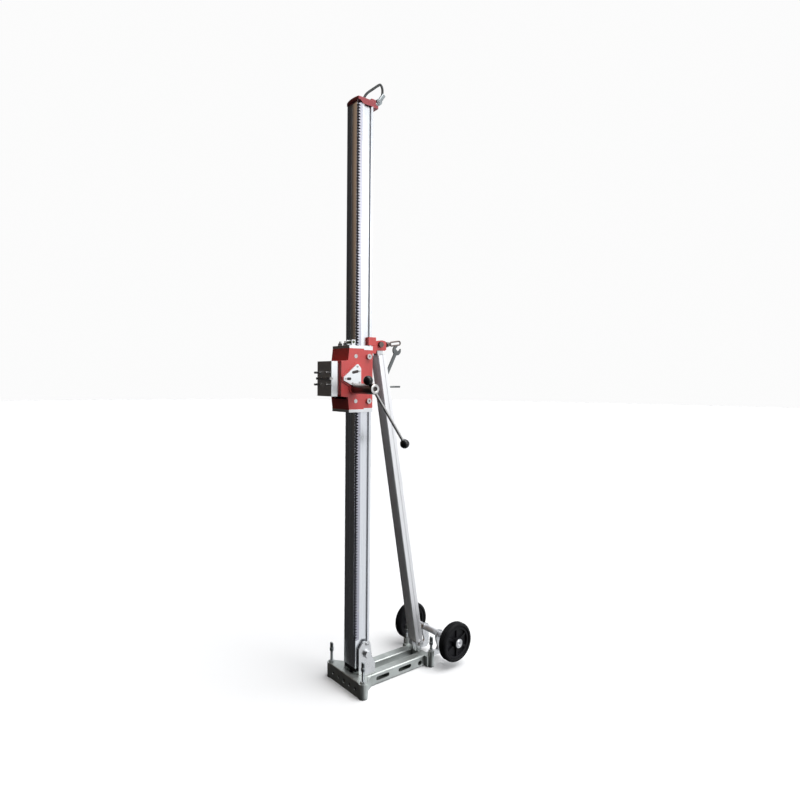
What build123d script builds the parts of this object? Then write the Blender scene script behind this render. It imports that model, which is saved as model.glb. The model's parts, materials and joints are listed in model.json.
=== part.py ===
from build123d import *
import math
import os

os.makedirs("parts", exist_ok=True)

# Core drill rig. Millimetres, +Z up, floor at z = 0, origin on the floor under the column axis.
# The motor plate faces -Y, the wheels are at +Y, the feed shaft comes out at +X.

# ---------------------------------------------------------------- driving dimensions
RUN = 0.05                      # radial clearance of a running fit
GAP = 0.3                       # clearance between bodies that only pass each other

COL_W = 72.0                    # column section along X
COL_D = 62.0                    # column section along Y
COL_Z0 = 76.0
COL_LEN = 2000.0
COL_Z1 = COL_Z0 + COL_LEN

RACK_PITCH = 10.0
RACK_X0 = 24.0
RACK_BASE_Y = -15.0
RACK_CREST_Y = -31.0
RACK_TEETH = 63                 # teeth in one length of rack
RACK_LENGTHS = 3
RACK_FIRST_Z = 182.0            # centre of the lowest tooth

PIN_TEETH = 17
PIN_MODULE = RACK_PITCH / math.pi
PIN_R = PIN_TEETH * PIN_MODULE / 2
MESH_GAP = 0.3                  # clearance on each tooth flank

SHAFT_Y = RACK_CREST_Y + PIN_MODULE - PIN_R
SHAFT_Z = 1077.0
SHAFT_R = 10.0
HANDLE_R = 18.0
BAR_X = 163.0
BAR_R = 5.0
BALL_R = 16.5
BAR_DY = 0.5875                 # direction of the bar in the YZ plane
BAR_DZ = -0.8092

CAR_Z0 = 994.0
CAR_Z1 = 1226.0
CAR_X = 53.0
CAR_WALL = 12.0
CAR_REAR_Y = 24.0
ROLL_F_Y = -48.0
ROLL_F_R = 16.7
ROLL_S_Y = 9.0
ROLL_S_R = 12.7
ROLL_Z = (1033.0, 1189.0)
AXLE_R = 7.0

TILT_Y, TILT_Z = 13.0, 122.0
FOOT_Y, FOOT_Z = 286.0, 75.0
TOP_Y, TOP_Z = 82.0, 1236.0
STRUT_W, STRUT_D = 48.0, 35.0     # strut section along X and across
TONGUE_HOLE_R = 10.0            # oversize, takes up the drift of the opened loop

LEG_R = 16.0                    # front legs
REAR_LEG_R = 12.0
FRONT_LEG = (100.7, -42.3, 54.0)
REAR_LEG = (74.0, 300.0, 60.0)
SCREW_R = 5.0

WHEEL_Y, WHEEL_Z = 371.0, 98.0
WHEEL_R = 75.0
WHEEL_X0, WHEEL_X1 = 115.0, 150.0
STUB_R = 10.0


# ---------------------------------------------------------------- shape helpers
def box(x0, x1, y0, y1, z0, z1, mode=Mode.ADD):
    """A box from its six limits."""
    with Locations(((x0 + x1) / 2, (y0 + y1) / 2, (z0 + z1) / 2)):
        Box(x1 - x0, y1 - y0, z1 - z0, mode=mode)


def cyl_x(y, z, r, x0, x1, mode=Mode.ADD):
    """A cylinder along X."""
    with Locations(Location(((x0 + x1) / 2, y, z), (0, 90, 0))):
        Cylinder(r, x1 - x0, mode=mode)


def cyl_y(x, z, r, y0, y1, mode=Mode.ADD):
    """A cylinder along Y."""
    with Locations(Location((x, (y0 + y1) / 2, z), (90, 0, 0))):
        Cylinder(r, y1 - y0, mode=mode)


def cyl_z(x, y, r, z0, z1, mode=Mode.ADD):
    """A cylinder along Z."""
    with Locations((x, y, (z0 + z1) / 2)):
        Cylinder(r, z1 - z0, mode=mode)


def plate_x(points, x0, x1, mode=Mode.ADD):
    """A plate across X from an outline in (y, z)."""
    with BuildSketch(Plane.YZ.offset(x0)) as outline:
        Polygon(*points, align=None)
    extrude(outline.sketch, amount=x1 - x0, mode=mode)


def hex_x(y, z, across, x0, x1, mode=Mode.ADD):
    """A hexagon along X, sized across its flats."""
    with BuildSketch(Plane.YZ.offset(x0)) as outline:
        with Locations((y, z)):
            RegularPolygon(across / 2, 6, major_radius=False)
    extrude(outline.sketch, amount=x1 - x0, mode=mode)


def hex_z(x, y, across, z0, z1, mode=Mode.ADD):
    """A hexagon along Z, sized across its flats."""
    with BuildSketch(Plane.XY.offset(z0)) as outline:
        with Locations((x, y)):
            RegularPolygon(across / 2, 6, major_radius=False)
    extrude(outline.sketch, amount=z1 - z0, mode=mode)


def both(side, a, b):
    """The X limits a..b on the right, mirrored when side is -1."""
    return (a, b) if side > 0 else (-b, -a)


def save(part, name):
    """Labels a part and writes it."""
    part.label = name
    export_step(part, "parts/" + name + ".step")


# ================================================================ base
CROSSBAR = [
    (-104, -55), (104, -55), (112, -50), (117, -42), (116, -34), (108, -27), (77, -2),
    (-77, -2), (-108, -27), (-116, -34), (-117, -42), (-112, -50),
]
LEGS = [(s * leg[0], leg[1], leg[2]) for leg in (FRONT_LEG, REAR_LEG) for s in (-1, 1)]

with BuildPart() as base_frame:
    with BuildSketch(Plane.XY):
        Polygon(*CROSSBAR, align=None)
    extrude(amount=54)
    chamfer(base_frame.edges().group_by(Axis.Z)[-1], length=2)
    # floor plate behind the crossbar, under the column foot
    box(-56, 56, -10, 44, 0, 6)
    # hollow rails
    with BuildSketch(Plane.XZ.offset(4)):
        for s in (-1, 1):
            with Locations((s * 37, 21.5)):
                Rectangle(38, 41)
        chamfer(vertices(), length=3)
    extrude(amount=-300)
    # gussets from crossbar to rail sides
    for s in (-1, 1):
        with BuildSketch(Plane.XY.offset(1)):
            Polygon((s * 54, -6), (s * 76, -6), (s * 56, 28), (s * 54, 28), align=None)
        extrude(amount=38)
    # rear crossmember
    box(-74, 74, 280, 304, 4, 42)
    for x, y, top in LEGS:
        cyl_z(x, y, LEG_R if y < 0 else REAR_LEG_R, 0, top)
    # hollow of the rails
    with BuildSketch(Plane.XZ.offset(-12)):
        for s in (-1, 1):
            with Locations((s * 37, 21.5)):
                Rectangle(30, 33)
    extrude(amount=-262, mode=Mode.SUBTRACT)
    # hollow of the crossbar, open below, with its five front holes
    box(-78, 78, -37, -14, -1, 46, Mode.SUBTRACT)
    for k in range(5):
        cyl_y((k - 2) * 35, 25, 9 if k == 2 else 6.5, -60, -41, Mode.SUBTRACT)
    # pocket under the column foot
    box(-34, 34, -34, 0, 30, 60, Mode.SUBTRACT)
    # slots and round holes in the outer sides of the rails
    for s in (-1, 1):
        x0, x1 = both(s, 50, 60)
        for y0, y1 in ((49, 110), (153, 215)):
            with BuildSketch(Plane.YZ.offset(x0)):
                with Locations(((y0 + y1) / 2, 22)):
                    SlotOverall(y1 - y0, 15)
            extrude(amount=x1 - x0, mode=Mode.SUBTRACT)
        cyl_x(259, 18, 9.5, x0, x1, Mode.SUBTRACT)
    # threaded ways for the levelling screws
    for x, y, top in LEGS:
        cyl_z(x, y, SCREW_R + RUN, -1, top + 1, Mode.SUBTRACT)
    # anchor hole through the floor plate
    cyl_z(0, 26, 7, -1, 7, Mode.SUBTRACT)
save(base_frame.part, "base_frame")

# Ears that carry the column, standing on the rails and the crossbar
EAR = [
    (-22, 54), (-22, 146), (-2, 168), (20, 167), (30, 156), (34, 112), (46, 90), (50, 80),
    (51, 42), (-2, 42), (-2, 54),
]
with BuildPart() as column_clevis_plates:
    for s in (-1, 1):
        x0, x1 = both(s, 40, 46)
        plate_x(EAR, x0, x1)
    cyl_x(TILT_Y, TILT_Z, 8, -60, 60, Mode.SUBTRACT)
    cyl_x(14, 156, 4, -60, 60, Mode.SUBTRACT)
save(column_clevis_plates.part, "column_clevis_plates")

with BuildPart() as column_pivot_bolt:
    cyl_x(TILT_Y, TILT_Z, 8, -58, 46)
    hex_x(TILT_Y, TILT_Z, 24, 48.5, 58)
    cyl_x(TILT_Y, TILT_Z, 15, 46, 48.5)
    hex_x(TILT_Y, TILT_Z, 24, -56, -46)
save(column_pivot_bolt.part, "column_pivot_bolt")

with BuildPart() as column_pivot_washers:
    for s in (-1, 1):
        x0, x1 = both(s, COL_W / 2 + GAP, 40)
        cyl_x(TILT_Y, TILT_Z, 14, x0, x1)
    cyl_x(TILT_Y, TILT_Z, 8, -60, 60, Mode.SUBTRACT)
save(column_pivot_washers.part, "column_pivot_washers")

with BuildPart() as clevis_lock_screws:
    for s in (-1, 1):
        x0, x1 = both(s, 40, 46)
        cyl_x(14, 156, 4, x0, x1)
        x0, x1 = both(s, 46, 50)
        cyl_x(14, 156, 5.5, x0, x1)
        x0, x1 = both(s, 48, 51)
        hex_x(14, 156, 5, x0, x1, Mode.SUBTRACT)
save(clevis_lock_screws.part, "clevis_lock_screws")

# Lugs that carry the strut, standing on the crossmember inside the strut's forked foot
LUG_R = 10.0
STRUT_LUG = [
    (280, 42), (FOOT_Y - LUG_R, FOOT_Z), (FOOT_Y + LUG_R, FOOT_Z), (300, 42),
]
with BuildPart() as strut_clevis_plates:
    for s in (-1, 1):
        x0, x1 = both(s, 12, 18)
        plate_x(STRUT_LUG, x0, x1)
        cyl_x(FOOT_Y, FOOT_Z, LUG_R, x0, x1)
    cyl_x(FOOT_Y, FOOT_Z, 6, -40, 40, Mode.SUBTRACT)
save(strut_clevis_plates.part, "strut_clevis_plates")

with BuildPart() as strut_pivot_bolt:
    cyl_x(FOOT_Y, FOOT_Z, 6, -34, 24.5)
    cyl_x(FOOT_Y, FOOT_Z, 12, 24.5, 26.5)
    hex_x(FOOT_Y, FOOT_Z, 19, 26.5, 34)
    hex_x(FOOT_Y, FOOT_Z, 19, -32.5, -24.5)
save(strut_pivot_bolt.part, "strut_pivot_bolt")

with BuildPart() as lock_nuts:
    for x, y, top in LEGS:
        hex_z(x, y, 17, top, top + 7)
        cyl_z(x, y, SCREW_R + RUN, top - 1, top + 8, Mode.SUBTRACT)
save(lock_nuts.part, "lock_nuts")

# Arms running low behind the rear crossmember, then up to the axle
ARM = [
    (304, 18), (304, 40), (358, 40), (364, 50), (354, 80), (353, 98), (358, 111), (371, 116),
    (384, 111), (389, 98), (388, 30), (378, 18),
]
with BuildPart() as axle_arms:
    for s in (-1, 1):
        x0, x1 = both(s, 37, 45)
        plate_x(ARM, x0, x1)
    cyl_x(WHEEL_Y, WHEEL_Z, 12, -60, 60, Mode.SUBTRACT)
save(axle_arms.part, "axle_arms")

with BuildPart() as axle:
    cyl_x(WHEEL_Y, WHEEL_Z, 12, -112, 112)
    cyl_x(WHEEL_Y, WHEEL_Z, STUB_R, -157, 157)
save(axle.part, "axle")

with BuildPart() as axle_washers:
    for s in (-1, 1):
        x0, x1 = both(s, 112, 114.7)
        cyl_x(WHEEL_Y, WHEEL_Z, 17, x0, x1)
        x0, x1 = both(s, 154.3, 157)
        cyl_x(WHEEL_Y, WHEEL_Z, 17, x0, x1)
    cyl_x(WHEEL_Y, WHEEL_Z, STUB_R, -170, 170, Mode.SUBTRACT)
save(axle_washers.part, "axle_washers")

# Stiff wires from the arms up to the axle
with BuildPart() as lanyard_wires:
    for s in (-1, 1):
        with BuildLine():
            Spline((s * 46.5, 364, 34), (s * 49, 357, 57), (s * 50, 346, 84), (s * 50, 357.3, 99))
        with BuildSketch(Plane(origin=(s * 46.5, 364, 34), z_dir=(s * 2.5, -7, 23))):
            Circle(1.25)
        sweep()
save(lanyard_wires.part, "lanyard_wires")

# ================================================================ levelling screws
SCREW_NAMES = ("front_left", "front_right", "rear_left", "rear_right")
for name, (x, y, top) in zip(SCREW_NAMES, LEGS):
    with BuildPart() as levelling_screw:
        head = 96 if y < 0 else 85
        cyl_z(x, y, SCREW_R, 2, head + 1)
        cyl_z(x, y, 7.5, head, head + 30)
        box(x - 9, x + 9, y + 4, y + 9, head + 12, head + 31, Mode.SUBTRACT)
        box(x - 9, x + 9, y - 9, y - 4, head + 12, head + 31, Mode.SUBTRACT)
    save(levelling_screw.part, "levelling_screw_" + name)

# ================================================================ wheels
for side, name in ((-1, "left"), (1, "right")):
    with BuildPart() as wheel:
        x0, x1 = both(side, 119, 146)
        cyl_x(WHEEL_Y, WHEEL_Z, 60, x0, x1)
        x0, x1 = both(side, 138, 150)
        cyl_x(WHEEL_Y, WHEEL_Z, 52, x0, x1, Mode.SUBTRACT)
        x0, x1 = both(side, 115, 127)
        cyl_x(WHEEL_Y, WHEEL_Z, 52, x0, x1, Mode.SUBTRACT)
        x0, x1 = both(side, 115, 154)
        cyl_x(WHEEL_Y, WHEEL_Z, 20, x0, x1)
        x0, x1 = both(side, 121, 144)
        for k in range(6):
            angle = math.radians(60 * k + 30)
            cy = WHEEL_Y + 36 * math.cos(angle)
            cz = WHEEL_Z + 36 * math.sin(angle)
            with Locations(Location(((x0 + x1) / 2, cy, cz), (60 * k + 30, 0, 0))):
                Box(x1 - x0, 36, 7)
        cyl_x(WHEEL_Y, WHEEL_Z, STUB_R + RUN, -170, 170, Mode.SUBTRACT)
    save(wheel.part, "wheel_" + name)

    with BuildPart() as tyre:
        x0, x1 = both(side, WHEEL_X0, WHEEL_X1)
        cyl_x(WHEEL_Y, WHEEL_Z, WHEEL_R, x0, x1)
        fillet(tyre.edges().filter_by(GeomType.CIRCLE), radius=6)
        cyl_x(WHEEL_Y, WHEEL_Z, 60, -170, 170, Mode.SUBTRACT)
    save(tyre.part, "tyre_" + name)

# ================================================================ column
with BuildPart() as column_extrusion:
    with BuildSketch(Plane.XY.offset(COL_Z0)):
        Rectangle(COL_W, COL_D)
        fillet(vertices(), radius=1.5)
        # closed cell
        Polygon(
            (-30, -25), (19, -25), (19, -11), (25, -11), (25, 13), (-25, 13), (-25, -11),
            (-30, -11), align=None, mode=Mode.SUBTRACT,
        )
        # side grooves
        for s in (-1, 1):
            with Locations((s * 34, 7)):
                Rectangle(8, 30, mode=Mode.SUBTRACT)
        # slot in the rear face
        with Locations((0, 28)):
            Rectangle(12, 8, mode=Mode.SUBTRACT)
        with Locations((0, 22)):
            Rectangle(22, 6, mode=Mode.SUBTRACT)
        # shallow line down the front face
        with Locations((-6, -31)):
            Rectangle(5, 2, mode=Mode.SUBTRACT)
    extrude(amount=COL_LEN)
    # rebate for the rack
    box(RACK_X0, 40, -35, RACK_BASE_Y, RACK_FIRST_Z - 5, COL_Z1 + 1, Mode.SUBTRACT)
    cyl_x(TILT_Y, TILT_Z, 8 + RUN, -40, 40, Mode.SUBTRACT)
    for s in (-1, 1):
        x0, x1 = both(s, 31, 37)
        cyl_x(-11, 2062, 2, x0, x1, Mode.SUBTRACT)
    for k in range(RACK_LENGTHS):
        for n in (10, 52):
            z = RACK_FIRST_Z + (k * RACK_TEETH + n) * RACK_PITCH
            cyl_x(-19.2, z, 2, 19, 25, Mode.SUBTRACT)
save(column_extrusion.part, "column_extrusion")

with BuildPart() as column_foot:
    box(-34, 34, -29, 27, COL_Z0 - 16, COL_Z0)
    chamfer(column_foot.edges().group_by(Axis.Z)[0], length=2)
    box(-24, 24, -22, 12, COL_Z0 - 17, COL_Z0 - 12, Mode.SUBTRACT)
save(column_foot.part, "column_foot")

ADD = PIN_MODULE
DED = 1.25 * PIN_MODULE
TAN = math.tan(math.radians(20))
HALF = RACK_PITCH / 4
with BuildPart() as rack:
    for k in range(RACK_LENGTHS):
        first = RACK_FIRST_Z + k * RACK_TEETH * RACK_PITCH
        low = first - RACK_PITCH / 2 + 0.05
        high = low + RACK_TEETH * RACK_PITCH - 0.1
        root = RACK_CREST_Y + ADD + DED
        outline = [(RACK_BASE_Y, low), (root, low)]
        for n in range(RACK_TEETH):
            z = first + n * RACK_PITCH
            outline.append((root, z - HALF - DED * TAN))
            outline.append((RACK_CREST_Y, z - HALF + ADD * TAN))
            outline.append((RACK_CREST_Y, z + HALF - ADD * TAN))
            outline.append((root, z + HALF + DED * TAN))
        outline += [(root, high), (RACK_BASE_Y, high)]
        plate_x(outline, RACK_X0, COL_W / 2)
        for n in (10, 52):
            z = first + n * RACK_PITCH
            cyl_x(-19.2, z, 2, 20, 40, Mode.SUBTRACT)
            cyl_x(-19.2, z, 3.5, 33, 40, Mode.SUBTRACT)
save(rack.part, "rack")

with BuildPart() as rack_screws:
    for k in range(RACK_LENGTHS):
        for n in (10, 52):
            z = RACK_FIRST_Z + (k * RACK_TEETH + n) * RACK_PITCH
            cyl_x(-19.2, z, 2, 19.5, 33.5)
            cyl_x(-19.2, z, 3.5, 33, 35.6)
save(rack_screws.part, "rack_screws")

with BuildPart() as top_cap:
    with BuildSketch(Plane.XY.offset(COL_Z1)):
        with BuildLine():
            ThreePointArc((-38.5, -31), (0, -39), (38.5, -34))
            Polyline((38.5, -34), (38.5, 30), (32, 36), (-32, 36), (-38.5, 30), (-38.5, -31))
        make_face()
    extrude(amount=12)
    chamfer(top_cap.edges().group_by(Axis.Z)[-1], length=2)
    # side flanges down the column
    for s in (-1, 1):
        x0, x1 = both(s, COL_W / 2, 38.5)
        plate_x([(-28, 2078), (-14, 2066), (26, 2066), (30, 2070), (30, 2078)], x0, x1)
    # rear tongue and the raised lug that holds the fitting
    box(-18, 18, 31, 66, COL_Z1, 2087)
    box(-12, 12, 40, 60, 2085, 2110)
    chamfer(top_cap.edges().group_by(Axis.Z)[-1], length=3)
    cyl_y(0, 2100, 5, 50, 70, Mode.SUBTRACT)
    cyl_z(-20, -8, 4, 2070, 2090, Mode.SUBTRACT)
    cyl_z(20, 5, 4, 2070, 2090, Mode.SUBTRACT)
save(top_cap.part, "top_cap")

with BuildPart() as cap_screws:
    for s in (-1, 1):
        x0, x1 = both(s, 31, 36.5)
        cyl_x(-11, 2062, 2, x0, x1)
    for x, y in ((-20, -8), (20, 5)):
        cyl_z(x, y, 4, COL_Z1, 2089)
save(cap_screws.part, "cap_screws")

# Zinc fitting bolted to the cap's lug, and the band that runs from it to the cap
LEAN = math.radians(35)
LUG_Y, LUG_Z = 81.0, 2111.0
CLAMP = Plane(origin=(0, LUG_Y, LUG_Z), x_dir=(1, 0, 0), z_dir=(0, math.sin(LEAN), math.cos(LEAN)))
with BuildPart() as cap_fitting:
    cyl_y(0, 2100, 5, 50, 78)
    cyl_x(LUG_Y, LUG_Z, 11, -6, 6)
    with BuildSketch(CLAMP):
        RectangleRounded(13, 14, 3)
    extrude(amount=36)
    cyl_x(LUG_Y, LUG_Z, 5, 5, 8)
save(cap_fitting.part, "cap_fitting")

BAND = [
    (10, 2088), (18.5, 2112), (31, 2129), (57.5, 2152), (80, 2171), (88.5, 2176), (95, 2170),
    (98, 2158), (97, 2138),
]
with BuildPart() as carry_strap:
    with BuildSketch(Plane.YZ.offset(-3)):
        with BuildLine():
            Polyline(*BAND)
        trace(line_width=9)
    extrude(amount=6)
    box(-20, 20, -20, 40, 2070, 2088, Mode.SUBTRACT)
    cyl_x(LUG_Y, LUG_Z, 11, -10, 10, Mode.SUBTRACT)
    with BuildSketch(CLAMP):
        RectangleRounded(13, 14, 3)
    extrude(amount=36, mode=Mode.SUBTRACT)
save(carry_strap.part, "carry_strap")

# ================================================================ strut bracket
HANDLE_UP = math.radians(8)
HANDLE_DIR = (0, math.cos(HANDLE_UP), math.sin(HANDLE_UP))
CHEEK = [
    (44, 1203), (44, 1249), (64, 1249), (90, 1252), (104, 1250), (110, 1246), (110, 1219),
    (104, 1214.5), (66, 1214.5), (62, 1203),
]
with BuildPart() as strut_bracket:
    for s in (-1, 1):
        x0, x1 = both(s, 36.4, 43)
        box(x0, x1, 13, 46, 1230, 1259)
        x0, x1 = both(s, 30.6, 37)
        box(x0, x1, 13, 21.6, 1230, 1259)
        x0, x1 = both(s, 14, 20)
        plate_x(CHEEK, x0, x1)
    box(-43, 43, 31.4, 46, 1230, 1259)
    box(-20, 20, 31.4, 46, 1203, 1232)
    box(-20, 20, 104, 110, 1219, 1246)
    cyl_x(TOP_Y, TOP_Z, 6, -30, 30, Mode.SUBTRACT)
    with BuildSketch(Plane(origin=(0, 98, 1234.5), z_dir=HANDLE_DIR)):
        Circle(5 + RUN)
    extrude(amount=16, mode=Mode.SUBTRACT)
save(strut_bracket.part, "strut_bracket")

with BuildPart() as bracket_bolt:
    cyl_x(TOP_Y, TOP_Z, 6, -28, 20)
    cyl_x(TOP_Y, TOP_Z, 11, 20, 22)
    hex_x(TOP_Y, TOP_Z, 19, 22, 29)
    hex_x(TOP_Y, TOP_Z, 19, -27, -20)
save(bracket_bolt.part, "bracket_bolt")

with BuildPart() as bracket_bumper:
    cyl_z(0, 40, 5.5, 1193, 1203)
save(bracket_bumper.part, "bracket_bumper")

with BuildPart() as clamp_handle:
    with BuildSketch(Plane(origin=(0, 101, 1234.9), z_dir=HANDLE_DIR)):
        Circle(5)
    extrude(amount=24)
    with BuildSketch(Plane(origin=(0, 123, 1238), z_dir=HANDLE_DIR)):
        Circle(10)
    extrude(amount=22, taper=12)
    with BuildSketch(Plane.YZ.offset(-2.5)):
        with Locations(Location((167, 1244.2), 8)):
            SlotOverall(55, 20)
            SlotOverall(44, 9, mode=Mode.SUBTRACT)
    extrude(amount=5)
save(clamp_handle.part, "clamp_handle")

# ================================================================ strut
SLOPE = math.atan2(FOOT_Y - TOP_Y, TOP_Z - FOOT_Z)
STRUT_DIR = (0, -math.sin(SLOPE), math.cos(SLOPE))
STRUT_LEN = math.hypot(FOOT_Y - TOP_Y, TOP_Z - FOOT_Z)
# section plane at the foot pivot: local x is row X, local z runs up the strut
STRUT_PLANE = Plane(origin=(0, FOOT_Y, FOOT_Z), x_dir=(1, 0, 0), z_dir=STRUT_DIR)


def strut_at(distance):
    """The section plane a distance up the strut from its foot pivot."""
    return STRUT_PLANE.offset(distance)


def strut_point(distance):
    """The (y, z) of the strut's centre line a distance up from its foot pivot."""
    return (FOOT_Y - distance * math.sin(SLOPE), FOOT_Z + distance * math.cos(SLOPE))


STRUT_TOP = STRUT_LEN - 38
STRUT_WALL = 4.0
with BuildPart() as strut_extrusion:
    with BuildSketch(strut_at(0)):
        RectangleRounded(STRUT_W, STRUT_D, 3)
        RectangleRounded(STRUT_W - 2 * STRUT_WALL, STRUT_D - 2 * STRUT_WALL, 1.5, mode=Mode.SUBTRACT)
        for s in (-1, 1):
            with Locations((s * STRUT_W / 2, 0)):
                Rectangle(2, 5, mode=Mode.SUBTRACT)
    extrude(amount=STRUT_TOP)
    # forked foot: only the side walls reach the pivot, with rounded ends
    with BuildSketch(strut_at(0)):
        Rectangle(STRUT_W - 2 * STRUT_WALL, 60)
    extrude(amount=16, mode=Mode.SUBTRACT)
    for s in (-1, 1):
        x0, x1 = both(s, STRUT_W / 2 - STRUT_WALL, STRUT_W / 2)
        cyl_x(FOOT_Y, FOOT_Z, STRUT_D / 2, x0, x1)
    cyl_x(FOOT_Y, FOOT_Z, 6 + RUN, -30, 30, Mode.SUBTRACT)
save(strut_extrusion.part, "strut_extrusion")

with BuildPart() as strut_tongue:
    with BuildSketch(strut_at(STRUT_TOP - 50)):
        Rectangle(26, 27)
    extrude(amount=50)
    with BuildSketch(strut_at(STRUT_TOP)):
        Rectangle(26, 25)
    extrude(amount=38)
    cyl_x(TOP_Y, TOP_Z, 13, -13, 13)
    cyl_x(TOP_Y, TOP_Z, TONGUE_HOLE_R, -20, 20, Mode.SUBTRACT)
save(strut_tongue.part, "strut_tongue")

PIN_Z = 1082.0
PIN_D = (PIN_Z - FOOT_Z) / math.cos(SLOPE)
PIN_Y = strut_point(PIN_D)[0] + 17.5 / math.cos(SLOPE)
with BuildPart() as strut_rear_pin:
    cyl_y(0, PIN_Z, 3.5, PIN_Y - 3.5, 191)
    with BuildSketch(strut_at(0)):
        RectangleRounded(STRUT_W, STRUT_D, 3)
    extrude(amount=STRUT_TOP, mode=Mode.SUBTRACT)
save(strut_rear_pin.part, "strut_rear_pin")

PEG_D = 995.0
PEG_Y, PEG_Z = strut_point(PEG_D)
with BuildPart() as spanner_peg:
    cyl_x(PEG_Y, PEG_Z, 5, -42.5, -24)
    cyl_x(PEG_Y, PEG_Z, 8, -28.1, -24)
    cyl_x(PEG_Y, PEG_Z, 8, -42.5, -34.9)
save(spanner_peg.part, "spanner_peg")

# Open-ended spanner lying along the strut, ring end on its peg
SPAN_ANGLE = 27.4
SPAN_LEN = 187.0
JAW_ANGLE = SPAN_ANGLE + 15
SPAN_UY = math.sin(math.radians(SPAN_ANGLE))
SPAN_UZ = math.cos(math.radians(SPAN_ANGLE))
JAW_Y = PEG_Y + SPAN_LEN * SPAN_UY
JAW_Z = PEG_Z + SPAN_LEN * SPAN_UZ
with BuildPart() as spanner:
    cyl_x(PEG_Y, PEG_Z, 12, -34.5, -28.5)
    cyl_x(JAW_Y, JAW_Z, 19, -34.5, -28.5)
    mid = (-31.5, PEG_Y + SPAN_LEN / 2 * SPAN_UY, PEG_Z + SPAN_LEN / 2 * SPAN_UZ)
    with Locations(Location(mid, (-SPAN_ANGLE, 0, 0))):
        Box(5, 13, SPAN_LEN - 20)
    tip = (
        -31.5, JAW_Y + 14 * math.sin(math.radians(JAW_ANGLE)),
        JAW_Z + 14 * math.cos(math.radians(JAW_ANGLE)),
    )
    with Locations(Location(tip, (-JAW_ANGLE, 0, 0))):
        Box(10, 17, 28, mode=Mode.SUBTRACT)
    cyl_x(PEG_Y, PEG_Z, 5 + RUN, -45, -14, Mode.SUBTRACT)
save(spanner.part, "spanner")

# ================================================================ carriage
BODY = [
    (-76, 1216), (-81, 1174), (-109, 1171), (-109, 1050), (-81, 1047), (-76, 1004),
    (CAR_REAR_Y, 1004), (CAR_REAR_Y, 1216),
]
INNER = CAR_X - CAR_WALL
STEP_Y, STEP = -14.0, 4.0       # where the end plates thicken, and by how much
with BuildPart() as carriage_housing:
    plate_x(BODY, -CAR_X, CAR_X)
    # raised pad under the gearbox cover and around the shaft
    with BuildSketch(Plane.YZ.offset(CAR_X)):
        Polygon(
            (-52, 1165), (-42, 1165), (-28, 1150), (-28, 1086), (-72, 1082),
            (-108, 1102), (-108, 1118), align=None,
        )
        with Locations((SHAFT_Y, SHAFT_Z)):
            Circle(22)
    extrude(amount=4)
    # space around the column, open at the rear, the top and the bottom
    box(-INNER, INNER, -68, 30, 1000, 1220, Mode.SUBTRACT)
    # space for the pinion
    box(-INNER, INNER, -92, -60, 1040, 1118, Mode.SUBTRACT)
    for z in ROLL_Z:
        cyl_x(ROLL_F_Y, z, AXLE_R, -60, 60, Mode.SUBTRACT)
        cyl_x(ROLL_S_Y, z, 5, -60, 60, Mode.SUBTRACT)
    cyl_x(SHAFT_Y, SHAFT_Z, SHAFT_R + RUN, -60, 60, Mode.SUBTRACT)
    # steps for the thick rear halves of the end plates
    box(-60, 60, STEP_Y, 30, 1000, CAR_Z0 + 10 + STEP, Mode.SUBTRACT)
    box(-60, 60, STEP_Y, 30, CAR_Z1 - 10 - STEP, 1220, Mode.SUBTRACT)
save(carriage_housing.part, "carriage_housing")

with BuildPart() as carriage_end_plates:
    for z0, z1 in ((CAR_Z0, CAR_Z0 + 10), (CAR_Z1 - 10, CAR_Z1)):
        box(-CAR_X, CAR_X, -76, CAR_REAR_Y, z0, z1)
    box(-CAR_X, CAR_X, STEP_Y, CAR_REAR_Y, CAR_Z0 + 5, CAR_Z0 + 10 + STEP)
    box(-CAR_X, CAR_X, STEP_Y, CAR_REAR_Y, CAR_Z1 - 10 - STEP, CAR_Z1 - 5)
    for z0, z1 in ((CAR_Z0, CAR_Z0 + 20), (CAR_Z1 - 20, CAR_Z1)):
        box(-38.5, 38.5, -33.5, 30, z0 - 1, z1 + 1, Mode.SUBTRACT)
save(carriage_end_plates.part, "carriage_end_plates")

COVER = [
    (-50, 1161), (-44, 1161), (-34, 1150), (-32, 1146), (-32, 1092), (-70, 1089),
    (-104, 1105), (-104, 1116),
]
COVER_BOLTS = [(-47, 1153), (-38, 1137), (-38, 1098), (-68, 1096), (-95, 1111)]
with BuildPart() as gearbox_cover:
    plate_x(COVER, CAR_X + 4, CAR_X + 9)
    # plain shallow recesses
    with BuildSketch(Plane.YZ.offset(CAR_X + 8)):
        with Locations(Location((-54, 1134), 12)):
            SlotOverall(22, 7)
        with Locations((-84, 1110)):
            SlotOverall(16, 7)
    extrude(amount=2, mode=Mode.SUBTRACT)
    for y, z in COVER_BOLTS:
        cyl_x(y, z, 2, 50, 70, Mode.SUBTRACT)
save(gearbox_cover.part, "gearbox_cover")

with BuildPart() as cover_bolts:
    for y, z in COVER_BOLTS:
        cyl_x(y, z, 2, CAR_X + 4, CAR_X + 9)
        cyl_x(y, z, 3.2, CAR_X + 9, CAR_X + 11)
save(cover_bolts.part, "cover_bolts")

with BuildPart() as roller_axles:
    for z in ROLL_Z:
        cyl_x(ROLL_F_Y, z, AXLE_R, -CAR_X - 0.5, CAR_X + 0.5)
save(roller_axles.part, "roller_axles")

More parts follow.
